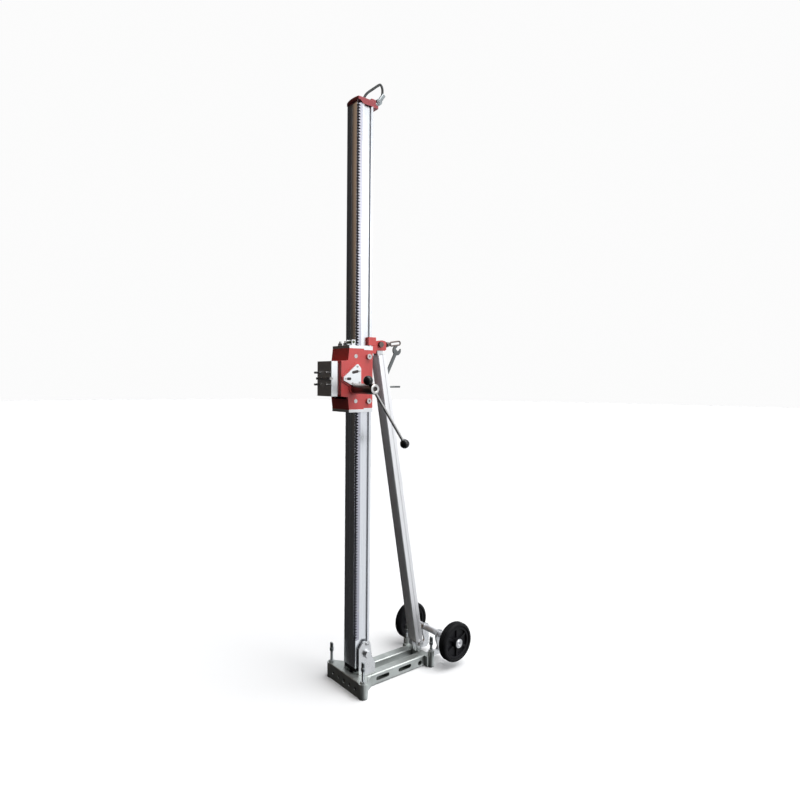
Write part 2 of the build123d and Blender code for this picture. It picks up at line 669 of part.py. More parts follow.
ECC = 4.0                       # offset of each adjuster's head from its roller's axle
with BuildPart() as eccentric_adjusters:
    for s in (-1, 1):
        for z in ROLL_Z:
            x0, x1 = both(s, 31, 53)
            cyl_x(ROLL_S_Y, z, 5, x0, x1)
            x0, x1 = both(s, 53, 61)
            cyl_x(ROLL_S_Y - ECC, z, 7.5 + ECC / 2, x0, x1)
            x0, x1 = both(s, 57, 62)
            hex_x(ROLL_S_Y - ECC, z, 6, x0, x1, Mode.SUBTRACT)
save(eccentric_adjusters.part, "eccentric_adjusters")

with BuildPart() as motor_clamp:
    box(-38, 38, -117, -109, 1058, 1164)
save(motor_clamp.part, "motor_clamp")

STUD_X, STUD_Z = 37.0, (1090.0, 1131.0)
KEY_Z = 1110.5
with BuildPart() as motor_plate:
    box(-45, 45, -144, -117, 1050, 1170)
    chamfer(motor_plate.edges().filter_by(Axis.Z), length=1.5)
    box(-50, 50, -145, -137, KEY_Z - 4, KEY_Z + 4, Mode.SUBTRACT)
    for s in (-1, 1):
        for z in STUD_Z:
            cyl_y(s * STUD_X, z, 3.2, -150, -124, Mode.SUBTRACT)
            cyl_y(s * STUD_X, z, 5.5, -145, -143, Mode.SUBTRACT)
save(motor_plate.part, "motor_plate")

with BuildPart() as motor_key:
    box(-45, 45, -149, -137, KEY_Z - 4, KEY_Z + 4)
save(motor_key.part, "motor_key")

with BuildPart() as motor_studs:
    for s in (-1, 1):
        for z in STUD_Z:
            cyl_y(s * STUD_X, z, 4, -160, -144)
            cyl_y(s * STUD_X, z, 3.2, -145, -124)
save(motor_studs.part, "motor_studs")

with BuildPart() as level_bolts:
    for x in (-36, -3):
        cyl_z(x, -55, 9, CAR_Z1, CAR_Z1 + 2)
        hex_z(x, -55, 13, CAR_Z1 + 2, CAR_Z1 + 10)
        cyl_z(x, -55, 4, CAR_Z1 + 10, CAR_Z1 + 17)
save(level_bolts.part, "level_bolts")

with BuildPart() as level_bracket:
    box(14, 48, -63, -47, CAR_Z1, CAR_Z1 + 3)
    box(14, 17, -63, -47, CAR_Z1 + 3, CAR_Z1 + 20)
    box(45, 48, -63, -47, CAR_Z1 + 3, CAR_Z1 + 20)
    cyl_x(-55, CAR_Z1 + 12, 5, 10, 50, Mode.SUBTRACT)
save(level_bracket.part, "level_bracket")

with BuildPart() as spirit_level:
    cyl_x(-55, CAR_Z1 + 12, 5, 14, 48)
save(spirit_level.part, "spirit_level")

# ================================================================ rollers
for z, name in zip(ROLL_Z, ("lower", "upper")):
    with BuildPart() as front_roller:
        cyl_x(ROLL_F_Y, z, ROLL_F_R - 3, -34, 22)
        cyl_x(ROLL_F_Y, z, ROLL_F_R, -34, -14)
        cyl_x(ROLL_F_Y, z, ROLL_F_R, 2, 22)
        cyl_x(ROLL_F_Y, z, AXLE_R + RUN, -60, 60, Mode.SUBTRACT)
    save(front_roller.part, "front_roller_" + name)

for side, side_name in ((-1, "left"), (1, "right")):
    for z, name in zip(ROLL_Z, ("lower", "upper")):
        with BuildPart() as side_roller:
            x0, x1 = both(side, 30.8, 40.4)
            cyl_x(ROLL_S_Y, z, ROLL_S_R, x0, x1)
            cyl_x(ROLL_S_Y, z, 5 + RUN, -60, 60, Mode.SUBTRACT)
        save(side_roller.part, "side_roller_" + side_name + "_" + name)

# ================================================================ feed
PIN_X0, PIN_X1 = 25.0, 35.0
with BuildPart() as feed_shaft:
    cyl_x(SHAFT_Y, SHAFT_Z, SHAFT_R, -51, 64)
    cyl_x(SHAFT_Y, SHAFT_Z, HANDLE_R, CAR_X + 9 + GAP + 2, 175)
    chamfer(feed_shaft.edges().group_by(Axis.X)[-1], length=1.5)
    cyl_x(SHAFT_Y, SHAFT_Z, 7.5, 171, 180, Mode.SUBTRACT)
    bar_dir = (0, BAR_DY, BAR_DZ)
    with BuildSketch(Plane(origin=(BAR_X, SHAFT_Y, SHAFT_Z), z_dir=bar_dir)):
        Circle(BAR_R + RUN)
    extrude(amount=40, both=True, mode=Mode.SUBTRACT)
save(feed_shaft.part, "feed_shaft")


def inv(a):
    """The involute function."""
    return math.tan(a) - a


BASE_R = PIN_R * math.cos(math.radians(20))
TIP_R = PIN_R + ADD
ROOT_R = PIN_R - DED
half_pitch_angle = math.pi / (2 * PIN_TEETH) - MESH_GAP / PIN_R
pinion_outline = []
for n in range(PIN_TEETH):
    centre = 2 * math.pi * n / PIN_TEETH
    flank = []
    for r in (ROOT_R, BASE_R, 26.6, 28.4, TIP_R):
        at = math.acos(min(1.0, BASE_R / r))
        flank.append((r, half_pitch_angle + inv(math.radians(20)) - inv(at)))
    for r, h in flank:
        pinion_outline.append((r * math.cos(centre - h), r * math.sin(centre - h)))
    for r, h in reversed(flank):
        pinion_outline.append((r * math.cos(centre + h), r * math.sin(centre + h)))
with BuildPart() as feed_pinion:
    plate_x([(SHAFT_Y + y, SHAFT_Z + z) for y, z in pinion_outline], PIN_X0, PIN_X1)
    cyl_x(SHAFT_Y, SHAFT_Z, SHAFT_R, 0, 60, Mode.SUBTRACT)
save(feed_pinion.part, "feed_pinion")

# Tommy bar: distances are measured along the bar from the shaft axis
BAR_LONG, BAR_SHORT = 236.0, 35.0
with BuildPart() as tommy_bar:
    start = (BAR_X, SHAFT_Y - BAR_SHORT * BAR_DY, SHAFT_Z - BAR_SHORT * BAR_DZ)
    with BuildSketch(Plane(origin=start, z_dir=bar_dir)):
        Circle(BAR_R)
    extrude(amount=BAR_LONG + BAR_SHORT)
save(tommy_bar.part, "tommy_bar")

with BuildPart() as bar_knobs:
    for d in (-BAR_SHORT, BAR_LONG):
        with Locations((BAR_X, SHAFT_Y + d * BAR_DY, SHAFT_Z + d * BAR_DZ)):
            Sphere(BALL_R)
    with BuildSketch(Plane(origin=start, z_dir=bar_dir)):
        Circle(BAR_R)
    extrude(amount=BAR_LONG + BAR_SHORT, mode=Mode.SUBTRACT)
save(bar_knobs.part, "bar_knobs")
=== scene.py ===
import json
import math

import bmesh
import bpy
from mathutils import Matrix, Vector


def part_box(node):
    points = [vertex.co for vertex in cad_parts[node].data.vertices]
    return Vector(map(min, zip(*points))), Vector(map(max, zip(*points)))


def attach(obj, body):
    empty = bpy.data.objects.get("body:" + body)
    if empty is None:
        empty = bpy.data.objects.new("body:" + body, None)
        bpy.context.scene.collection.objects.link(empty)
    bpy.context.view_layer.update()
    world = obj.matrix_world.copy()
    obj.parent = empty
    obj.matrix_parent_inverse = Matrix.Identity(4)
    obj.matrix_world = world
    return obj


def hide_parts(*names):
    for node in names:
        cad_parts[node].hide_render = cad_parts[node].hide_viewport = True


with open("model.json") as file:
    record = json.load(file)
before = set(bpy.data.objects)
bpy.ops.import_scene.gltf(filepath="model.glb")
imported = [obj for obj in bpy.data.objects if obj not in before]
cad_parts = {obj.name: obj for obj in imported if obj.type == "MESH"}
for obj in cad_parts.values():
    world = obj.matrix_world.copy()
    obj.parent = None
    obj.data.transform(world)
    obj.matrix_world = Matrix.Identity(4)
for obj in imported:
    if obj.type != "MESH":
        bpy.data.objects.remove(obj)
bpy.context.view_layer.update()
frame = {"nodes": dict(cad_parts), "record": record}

TAU = 2 * math.pi
SMOOTH_ANGLE = math.radians(38)     # a mesh piece's edges sharper than this stay sharp
BEVEL_ANGLE = math.radians(40)      # a CAD node's edges sharper than this are rounded
WELD_GAP = 0.00001
SMALL_PART = 0.012                  # a CAD node thinner than this gets the small bevel
SMALL_BEVEL, BEVEL = 0.0003, 0.0006


# ------------------------------------------------------------------ material nodes
def new_node(tree, kind, **settings):
    node = tree.nodes.new(kind)
    for key, value in settings.items():
        setattr(node, key, value)
    return node


def set_range(node, from_low, from_high, low, high):
    """Fills in a Map Range node."""
    node.inputs["From Min"].default_value = from_low
    node.inputs["From Max"].default_value = from_high
    node.inputs["To Min"].default_value = low
    node.inputs["To Max"].default_value = high


class Finish:
    """A material's node tree, built round one Principled shader."""

    def __init__(self, name, colour, metallic=0.0, coat=0.0):
        self.material = bpy.data.materials.new(name)
        self.material.use_nodes = True
        self.tree = self.material.node_tree
        self.tree.nodes.clear()
        out = self.add("ShaderNodeOutputMaterial")
        self.shader = self.add("ShaderNodeBsdfPrincipled")
        self.link(self.shader.outputs[0], out.inputs["Surface"])
        self.set("Base Color", (*colour, 1))
        self.set("Metallic", metallic)
        self.set("Coat Weight", coat)
        self.place = self.add("ShaderNodeTexCoord").outputs["Object"]
        self.normal = None

    def add(self, kind, **settings):
        return new_node(self.tree, kind, **settings)

    def link(self, a, b):
        self.tree.links.new(a, b)

    def set(self, socket, value):
        self.shader.inputs[socket].default_value = value

    def stretched(self, scale):
        """Object coordinates scaled per axis."""
        node = self.add("ShaderNodeMapping")
        node.inputs["Scale"].default_value = scale
        self.link(self.place, node.inputs["Vector"])
        return node.outputs[0]

    def noise(self, scale, stretch=(1, 1, 1), detail=4.0, rough=0.55):
        node = self.add("ShaderNodeTexNoise")
        node.inputs["Scale"].default_value = scale
        node.inputs["Detail"].default_value = detail
        node.inputs["Roughness"].default_value = rough
        self.link(self.stretched(stretch), node.inputs["Vector"])
        return node.outputs["Fac"]

    def cells(self, scale, stretch=(1, 1, 1)):
        node = self.add("ShaderNodeTexVoronoi")
        node.inputs["Scale"].default_value = scale
        self.link(self.stretched(stretch), node.inputs["Vector"])
        return node.outputs

    def ramp(self, value, stops):
        """stops is a list of (position, colour)."""
        node = self.add("ShaderNodeValToRGB")
        elements = node.color_ramp.elements
        while len(elements) < len(stops):
            elements.new(0.5)
        for element, (position, colour) in zip(elements, stops):
            element.position = position
            element.color = (*colour, 1)
        self.link(value, node.inputs[0])
        return node.outputs[0]

    def span(self, value, low, high, from_low=0.3, from_high=0.7):
        """Maps a value from one range to another, clamped at both ends."""
        node = self.add("ShaderNodeMapRange")
        set_range(node, from_low, from_high, low, high)
        self.link(value, node.inputs["Value"])
        return node.outputs[0]

    def mix(self, factor, a, b):
        """Blends a into b. Each is a colour or another node's output."""
        node = self.add("ShaderNodeMix", data_type="RGBA")
        self.link(factor, node.inputs[0])
        for socket, value in ((node.inputs[6], a), (node.inputs[7], b)):
            if isinstance(value, tuple):
                socket.default_value = (*value, 1)
            else:
                self.link(value, socket)
        return node.outputs[2]

    def bump(self, height, distance):
        """Adds a bump on top of any bump already there."""
        node = self.add("ShaderNodeBump")
        node.inputs["Distance"].default_value = distance
        node.inputs["Strength"].default_value = 1.0
        self.link(height, node.inputs["Height"])
        if self.normal is not None:
            self.link(self.normal, node.inputs["Normal"])
        self.normal = node.outputs[0]
        self.link(self.normal, self.shader.inputs["Normal"])

    def edges(self, radius):
        """1 on edges and 0 on flats, from how far a bevelled normal leans off the true one."""
        bevel = self.add("ShaderNodeBevel", samples=4)
        bevel.inputs["Radius"].default_value = radius
        geometry = self.add("ShaderNodeNewGeometry")
        dot = self.add("ShaderNodeVectorMath", operation="DOT_PRODUCT")
        self.link(bevel.outputs[0], dot.inputs[0])
        self.link(geometry.outputs["Normal"], dot.inputs[1])
        return self.span(dot.outputs["Value"], 1.0, 0.0, 0.75, 0.995)

    def colour(self, output):
        self.link(output, self.shader.inputs["Base Color"])

    def rough(self, output):
        self.link(output, self.shader.inputs["Roughness"])


def shade(colour, k):
    """A colour made k times as bright."""
    return tuple(min(1.0, c * k) for c in colour)


def drawn_metal(name, colour, stretch, low=0.24, high=0.42, grain=0.00002, crown=0.0):
    """Extruded, rolled or drawn metal: fine lines along one axis, faces slightly crowned in X."""
    f = Finish(name, colour, metallic=1.0)
    if crown:
        split = f.add("ShaderNodeSeparateXYZ")
        f.link(f.place, split.inputs[0])
        square = f.add("ShaderNodeMath", operation="MULTIPLY")
        f.link(split.outputs[0], square.inputs[0])
        f.link(split.outputs[0], square.inputs[1])
        f.bump(square.outputs[0], -crown)
    lines = f.noise(1.0, stretch, detail=6)
    cloud = f.noise(9.0, (1, 1, 0.4))
    tone = f.ramp(lines, [(0.3, shade(colour, 0.9)), (0.7, shade(colour, 1.06))])
    f.colour(f.mix(f.span(cloud, 0, 0.5), tone, shade(colour, 0.88)))
    f.rough(f.span(lines, low, high))
    f.bump(lines, grain)
    return f.material


def plated(name, colour, low=0.22, high=0.4):
    """Zinc plate: a faint crystal pattern with cloudy patches."""
    f = Finish(name, colour, metallic=1.0)
    crystals = f.cells(260)["Distance"]
    cloud = f.noise(38.0)
    tone = f.ramp(cloud, [(0.3, shade(colour, 0.8)), (0.7, shade(colour, 1.05))])
    f.colour(f.mix(f.span(crystals, 0, 0.3, 0.1, 0.8), tone, shade(colour, 0.75)))
    f.rough(f.span(cloud, low, high))
    f.bump(f.noise(900.0), 0.00002)
    return f.material


def cast(name, colour, metallic=0.75):
    """Grey cast metal: bright worn edges, painted shade darkening its hollows and a fine sandy
    skin.
    """
    f = Finish(name, colour, metallic=metallic)
    cloud = f.noise(22.0, detail=8)
    tone = f.ramp(cloud, [(0.3, shade(colour, 0.8)), (0.7, shade(colour, 1.12))])
    worn = f.add("ShaderNodeMath", operation="MULTIPLY")
    f.link(f.edges(0.0016), worn.inputs[0])
    f.link(f.span(f.noise(160.0), 0.2, 0.9), worn.inputs[1])
    # Painted shade: ambient occlusion darkens the colour towards near black in hollows, bores and
    # creases.
    hollow = f.add("ShaderNodeAmbientOcclusion", samples=6)
    hollow.inputs["Distance"].default_value = 0.014
    painted_shade_tone = f.mix(f.span(hollow.outputs["AO"], 0, 1, 0.25, 0.7), shade(colour, 0.06), tone)
    f.colour(f.mix(worn.outputs[0], painted_shade_tone, shade(colour, 1.55)))
    f.rough(f.span(f.noise(60.0), 0.34, 0.52))
    f.bump(f.noise(700.0, detail=3), 0.00008)
    return f.material


def paint(name, colour, bare):
    """Powder coat: slight orange peel, and bare metal where its edges are knocked."""
    f = Finish(name, colour, coat=0.25)
    f.set("Coat Roughness", 0.2)
    cloud = f.noise(14.0, detail=6)
    tone = f.ramp(cloud, [(0.3, shade(colour, 0.9)), (0.7, shade(colour, 1.06))])
    chips = f.add("ShaderNodeMath", operation="MULTIPLY")
    f.link(f.edges(0.0012), chips.inputs[0])
    f.link(f.span(f.noise(120.0, detail=8), 0.0, 1.0, 0.56, 0.66), chips.inputs[1])
    f.colour(f.mix(chips.outputs[0], tone, bare))
    f.rough(f.span(f.noise(50.0), 0.34, 0.48))
    f.bump(f.noise(420.0, detail=2), 0.00006)
    return f.material


def moulded(name, colour, low=0.35, high=0.55, grain=0.00006, scale=900.0, gloss=0.5):
    """Moulded plastic or rubber with a fine grain and faint dust."""
    f = Finish(name, colour)
    f.set("Specular IOR Level", gloss)
    cloud = f.noise(30.0, detail=6)
    dusty = tuple(c + 0.012 for c in colour)
    f.colour(f.ramp(cloud, [(0.35, colour), (0.75, dusty)]))
    f.rough(f.span(cloud, low, high))
    f.bump(f.noise(scale, detail=3), grain)
    return f.material


def webbing(name, colour):
    """A tight ribbed weave across a flat band."""
    f = Finish(name, colour)
    wave = f.add("ShaderNodeTexWave", wave_type="BANDS", bands_direction="DIAGONAL")
    wave.inputs["Scale"].default_value = 260
    wave.inputs["Distortion"].default_value = 1.5
    f.link(f.place, wave.inputs["Vector"])
    f.colour(f.ramp(wave.outputs["Fac"], [(0.2, colour), (0.9, tuple(c + 0.05 for c in colour))]))
    f.rough(f.span(f.noise(200.0), 0.5, 0.75))
    f.bump(wave.outputs["Fac"], 0.0003)
    return f.material


LINES_ALONG_Z = (900, 900, 3)
BARE_METAL = (0.55, 0.53, 0.52)
LOOKS = {
    "column_alu": drawn_metal("column_aluminium", (0.82, 0.84, 0.87), LINES_ALONG_Z, 0.2, 0.34,
                              crown=4.4),
    "plate_alu": drawn_metal("milled_aluminium", (0.80, 0.81, 0.82), (3, 700, 700), 0.26, 0.44),
    "cast_grey": cast("cast_grey", (0.50, 0.53, 0.51), 0.85),
    "zinc": plated("zinc_plate", (0.74, 0.75, 0.76)),
    "bolt_steel": plated("bright_steel", (0.62, 0.61, 0.60), 0.2, 0.34),
    "rack_steel": drawn_metal("rack_steel", (0.46, 0.46, 0.52), (40, 900, 900), 0.32, 0.5),
    "dark_steel": drawn_metal("dark_steel", (0.16, 0.13, 0.12), (6, 500, 500), 0.26, 0.42),
    "red_paint": paint("red_powder_coat", (0.64, 0.065, 0.06), BARE_METAL),
    "wheel_plastic": moulded("wheel_plastic", (0.006, 0.006, 0.008), 0.3, 0.45, gloss=0.12),
    "tyre_rubber": moulded("tyre_rubber", (0.006, 0.006, 0.007), 0.45, 0.65, 0.00012, 600.0, 0.1),
    "knob_black": moulded("knob_black", (0.004, 0.004, 0.005), 0.1, 0.22, 0.00001, 200.0, 0.35),
    "strap_black": webbing("strap_black", (0.02, 0.024, 0.024)),
    "white_plastic": moulded("white_plastic", (0.78, 0.78, 0.76)),
    "level_tube": moulded("level_tube", (0.09, 0.11, 0.05), 0.08, 0.16, 0.00001),
}
GREY_STEEL = plated("grey_steel", (0.17, 0.18, 0.18), 0.3, 0.45)
SCREW_STEEL = plated("screw_steel", (0.34, 0.37, 0.38), 0.3, 0.45)
AXLE_STEEL = plated("axle_steel", (0.80, 0.80, 0.82), 0.45, 0.6)
CAP_RED = paint("cap_red", (0.40, 0.04, 0.05), BARE_METAL)
# Painted shade: a near-black brown-red for the shade inside recesses. It is used as flat sheets
# on the gearbox cover and as a disc in the feed shaft's end bore.
RECESS_SHADE = moulded("painted_recess_shade", (0.035, 0.022, 0.02), 0.4, 0.6)
WELD = plated("weld_bead", (0.36, 0.37, 0.36), 0.35, 0.55)

slot_of = {row["node"]: row["material_slot"] for row in frame["record"]["subparts"]}
STRUT_ALU = drawn_metal("strut_aluminium", (0.90, 0.90, 0.91), LINES_ALONG_Z, 0.46, 0.58)
OWN_LOOK = {                        # nodes that don't take their slot's look
    "spanner": GREY_STEEL,
    "spanner_peg": GREY_STEEL,
    "strut_rear_pin": GREY_STEEL,
    "bracket_bolt": LOOKS["dark_steel"],
    "strut_extrusion": STRUT_ALU,
    "top_cap": CAP_RED,
    "cap_fitting": SCREW_STEEL,
}
NO_BEVEL = ("rack", "feed_pinion", "tommy_bar", "bar_knobs", "lanyard_wires")


def dress(node, obj):
    """Gives a CAD node its finish, merged corners and small rounded edges."""
    obj.data.materials.clear()
    obj.data.materials.append(OWN_LOOK.get(node, LOOKS[slot_of[node]]))
    if node in NO_BEVEL:
        return
    join = obj.modifiers.new("join", "WELD")
    join.merge_threshold = WELD_GAP
    low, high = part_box(node)
    edge = obj.modifiers.new("edge", "BEVEL")
    edge.width = SMALL_BEVEL if min(high - low) < SMALL_PART else BEVEL
    edge.segments = 2
    edge.limit_method = "ANGLE"
    edge.angle_limit = BEVEL_ANGLE
    edge.harden_normals = True


for node_name, node_object in frame["nodes"].items():
    dress(node_name, node_object)


# ------------------------------------------------------------------ mesh making
def piece(name, verts, faces, body, slot, material=None, stands_for=()):
    """A new mesh object that rides on a body."""
    mesh = bpy.data.meshes.new(name)
    mesh.from_pydata([tuple(v) for v in verts], [], faces)
    work = bmesh.new()
    work.from_mesh(mesh)
    bmesh.ops.recalc_face_normals(work, faces=work.faces)
    work.to_mesh(mesh)
    work.free()
    mesh.polygons.foreach_set("use_smooth", [True] * len(mesh.polygons))
    mesh.set_sharp_from_angle(angle=SMOOTH_ANGLE)
    mesh.materials.append(material or LOOKS[slot])
    obj = bpy.data.objects.new(name, mesh)
    bpy.context.scene.collection.objects.link(obj)
    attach(obj, body)
    if stands_for:
        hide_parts(*stands_for)
    return obj


def lathe(profile, start, direction, steps=64, closed=False):
    """Turns a profile of (distance along, radius) about a line. An open one is capped."""
    axis = Vector(direction).normalized()
    side = axis.orthogonal().normalized()
    other = axis.cross(side)
    verts, faces = [], []
    count = len(profile)
    for k in range(steps):
        out = side * math.cos(TAU * k / steps) + other * math.sin(TAU * k / steps)
        verts += [Vector(start) + axis * a + out * r for a, r in profile]
    for k in range(steps):
        here, there = k * count, (k + 1) % steps * count
        for i in range(count if closed else count - 1):
            j = (i + 1) % count
            faces.append((here + i, here + j, there + j, there + i))
    if not closed:
        faces.append(tuple(k * count for k in range(steps)))
        faces.append(tuple(k * count + count - 1 for k in range(steps)))
    return verts, faces


def gather(parts):
    """Joins several (verts, faces) into one."""
    verts, faces = [], []
    for more_verts, more_faces in parts:
        base = len(verts)
        verts += more_verts
        faces += [tuple(base + i for i in face) for face in more_faces]
    return verts, faces


def along(points, section):
    """Sweeps a section, given as a function of position, along a line of points."""
    points = [Vector(p) for p in points]
    verts, faces = [], []
    side = None
    for i, p in enumerate(points):
        ahead = (points[min(i + 1, len(points) - 1)] - points[max(i - 1, 0)]).normalized()
        if side is None:
            side = ahead.orthogonal().normalized() if abs(ahead.x) > 0.5 else Vector((1, 0, 0))
        side = (side - ahead * side.dot(ahead)).normalized()
        up = ahead.cross(side)
        ring = section(i)
        verts += [p + side * a + up * b for a, b in ring]
    count = len(ring)
    for i in range(len(points) - 1):
        for k in range(count):
            j = (k + 1) % count
            a, b = i * count, (i + 1) * count
            faces.append((a + k, a + j, b + j, b + k))
    faces.append(tuple(range(count)))
    faces.append(tuple(range(len(verts) - count, len(verts))))
    return verts, faces


def smooth_line(points, steps):
    """Points of a Catmull-Rom line through the given ones."""
    pts = [Vector(p) for p in points]
    pts = [pts[0] * 2 - pts[1]] + pts + [pts[-1] * 2 - pts[-2]]
    line = []
    for i in range(1, len(pts) - 2):
        for k in range(steps):
            t = k / steps
            a, b, c, d = pts[i - 1 : i + 3]
            line.append(
                0.5 * (2 * b + (c - a) * t + (2 * a - 5 * b + 4 * c - d) * t * t
                       + (3 * b - a - 3 * c + d) * t ** 3)
            )
    line.append(pts[-2])
    return line


def threads(length, radius, pitch, depth):
    """A threaded rod's profile, with a plain lead at each end."""
    lead = 0.001
    profile = [(0, radius - depth), (lead * 0.5, radius - depth * 0.6)]
    turns = int((length - 2 * lead) / pitch)
    for k in range(turns):
        at = lead + k * pitch
        profile += [(at, radius - depth), (at + pitch * 0.5, radius)]
    profile += [(length - lead, radius - depth), (length, radius - depth)]
    return profile


def oval(count, half_x, power_x, half_y, power_y):
    """A ring of points round an oval, which is boxier the smaller its powers are."""
    ring = []
    for k in range(count):
        t = TAU * k / count
        c, s = math.cos(t), math.sin(t)
        ring.append((
            math.copysign(abs(c) ** power_x, c) * half_x,
            math.copysign(abs(s) ** power_y, s) * half_y,
        ))
    return ring


# ------------------------------------------------------------------ wheels
RIM_RADIUS = 0.0602
TREAD_GROOVES = (-0.0075, 0.0, 0.0075)

for name in ("left", "right"):
    low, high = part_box("tyre_" + name)
    centre = (low + high) / 2
    half = (high.x - low.x) / 2
    outer = (high.z - low.z) / 2
    wall = [(-half + 0.004, RIM_RADIUS), (-half, RIM_RADIUS + 0.003), (-half, outer - 0.0085),
            (-half + 0.0015, outer - 0.004), (-half + 0.006, outer - 0.0008)]
    tread = []
    for at in TREAD_GROOVES:
        tread += [(at - 0.0014, outer), (at - 0.0008, outer - 0.0018),
                  (at + 0.0008, outer - 0.0018), (at + 0.0014, outer)]
    loop = wall + tread + [(-a, r) for a, r in reversed(wall)]
    made = lathe(loop, centre, (1, 0, 0), 128, closed=True)
    piece("tyre_ring_" + name, *made, "wheel_" + name, "tyre_rubber",
          stands_for=("tyre_" + name,))


# ------------------------------------------------------------------ screws with threads
SCREW_HEAD = 0.0305                 # height of a levelling screw's collar and blade
SCREW_RADIUS, SCREW_PITCH, SCREW_DEPTH = 0.005, 0.0015, 0.0006
SCREW_COLLAR = [(0, 0.0052), (0.0008, 0.0072), (0.0016, 0.0075), (0.0115, 0.0075),
                (0.0125, 0.0066), (0.0135, 0.0060)]
BLADE_LEVELS = (                    # height, half width and half thickness
    (0.0125, 0.0062, 0.0040), (0.0150, 0.0072, 0.0039), (0.0250, 0.0074, 0.0037),
    (0.0290, 0.0071, 0.0035), (0.0304, 0.0062, 0.0028),
)
BLADE_SIDES = 24
STUD_RADIUS, STUD_PITCH, STUD_DEPTH = 0.004, 0.00125, 0.0005

for corner in ("front_left", "front_right", "rear_left", "rear_right"):
    node = "levelling_screw_" + corner
    low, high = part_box(node)
    x, y = (low.x + high.x) / 2, (low.y + high.y) / 2
    head_z = high.z - SCREW_HEAD
    rod_profile = threads(head_z - low.z + 0.0005, SCREW_RADIUS, SCREW_PITCH, SCREW_DEPTH)
    stem = lathe(rod_profile, (x, y, low.z), (0, 0, 1), 40)
    collar = lathe(SCREW_COLLAR, (x, y, head_z), (0, 0, 1), 40)
    blade = []
    for level, reach, thick in BLADE_LEVELS:
        for px, py in oval(BLADE_SIDES, reach, 0.6, thick, 0.4):
            blade.append(Vector((x + px, y + py, head_z + level)))
    blade_faces = []
    for r in range(len(BLADE_LEVELS) - 1):
        here, above = r * BLADE_SIDES, (r + 1) * BLADE_SIDES
        for k in range(BLADE_SIDES):
            j = (k + 1) % BLADE_SIDES
            blade_faces.append((here + k, here + j, above + j, above + k))
    blade_faces.append(tuple(range(BLADE_SIDES)))
    blade_faces.append(tuple(range(len(blade) - BLADE_SIDES, len(blade))))
    made = gather([stem, collar, (blade, blade_faces)])
    piece("screw_" + corner, *made, node, "zinc", SCREW_STEEL, stands_for=(node,))

low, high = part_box("motor_studs")
plate_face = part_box("motor_plate")[0].y
studs = []
stud_profile = threads(plate_face - low.y, STUD_RADIUS, STUD_PITCH, STUD_DEPTH)
for x in (low.x + STUD_RADIUS, high.x - STUD_RADIUS):
    for z in (low.z + STUD_RADIUS, high.z - STUD_RADIUS):
        studs.append(lathe(stud_profile, (x, low.y, z), (0, 1, 0), 32))
piece("threaded_studs", *gather(studs), "carriage", "bolt_steel", stands_for=("motor_studs",))


# ------------------------------------------------------------------ strap on the cap
STRAP_ROUTE = [                     # (y, z) from the cap to its fitting
    (0.010, 2.0885), (0.014, 2.100), (0.0185, 2.112), (0.031, 2.129), (0.0575, 2.152),
    (0.079, 2.170), (0.088, 2.1745), (0.0945, 2.169), (0.0975, 2.157), (0.0965, 2.139),
]
strap_line = smooth_line([(0, y, z) for y, z in STRAP_ROUTE], 8)
strap_section = oval(20, 0.0026, 0.7, 0.0044, 0.4)      # a flat band with rounded edges
piece("strap_band", *along(strap_line, lambda i: strap_section), "column", "strap_black",
      stands_for=("carry_strap",))


# ------------------------------------------------------------------ weld beads on the base
BEAD_RADIUS = 0.0022
WELDS = (                           # x on each side, then (y, z) of the two ends
    (0.0460, (0.002, 0.042), (0.050, 0.042)),       # column plates to the crossbar's top
    (0.0460, (-0.022, 0.054), (-0.004, 0.054)),
    (0.0180, (0.282, 0.042), (0.298, 0.042)),       # strut lugs to the crossmember
    (0.0450, (0.304, 0.019), (0.304, 0.039)),       # axle arms to the crossmember
    (0.0370, (0.304, 0.019), (0.304, 0.039)),
)


def bead(a, b):
    """A rippled bead between two points, thinner at its ends."""
    a, b = Vector(a), Vector(b)
    count = max(6, int((b - a).length / 0.0012))
    points = [a.lerp(b, k / count) for k in range(count + 1)]

    def section(i):
        swell = BEAD_RADIUS * (0.86 + 0.14 * math.cos(i * TAU / 3))
        taper = min(1.0, 0.4 + 0.3 * i, 0.4 + 0.3 * (count - i))
        return [(math.cos(TAU * k / 10) * swell * taper, math.sin(TAU * k / 10) * swell * taper)
                for k in range(10)]

    return along(points, section)


beads = []
for s in (-1, 1):
    for x, start, end in WELDS:
        beads.append(bead((s * x, *start), (s * x, *end)))
piece("weld_beads", *gather(beads), "base", "cast_grey", WELD)


# ------------------------------------------------------------------ bubble and rings on the level
low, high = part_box("spirit_level")
middle = (low + high) / 2
radius = (high.z - low.z) / 2
ring_profile = [(-0.0006, radius - 0.0004), (-0.0006, radius + 0.0003),
                (0.0006, radius + 0.0003), (0.0006, radius - 0.0004)]
rings = []
for at in (-0.005, 0.005):
    rings.append(lathe(ring_profile, middle + Vector((at, 0, 0)), (1, 0, 0), 40, closed=True))
piece("level_rings", *gather(rings), "carriage", "knob_black")
bubble = [(0.004 * math.cos(math.pi * k / 12), max(0.00002, 0.0022 * math.sin(math.pi * k / 12)))
          for k in range(13)]
made = lathe(bubble, middle + Vector((0, 0, radius - 0.0014)), (1, 0, 0), 24)
piece("level_bubble", *made, "carriage", "white_plastic")


# ------------------------------------------------------------------ axle with drilled ends
HUB_X = 0.112                       # where each wheel's hub ends on its inner side

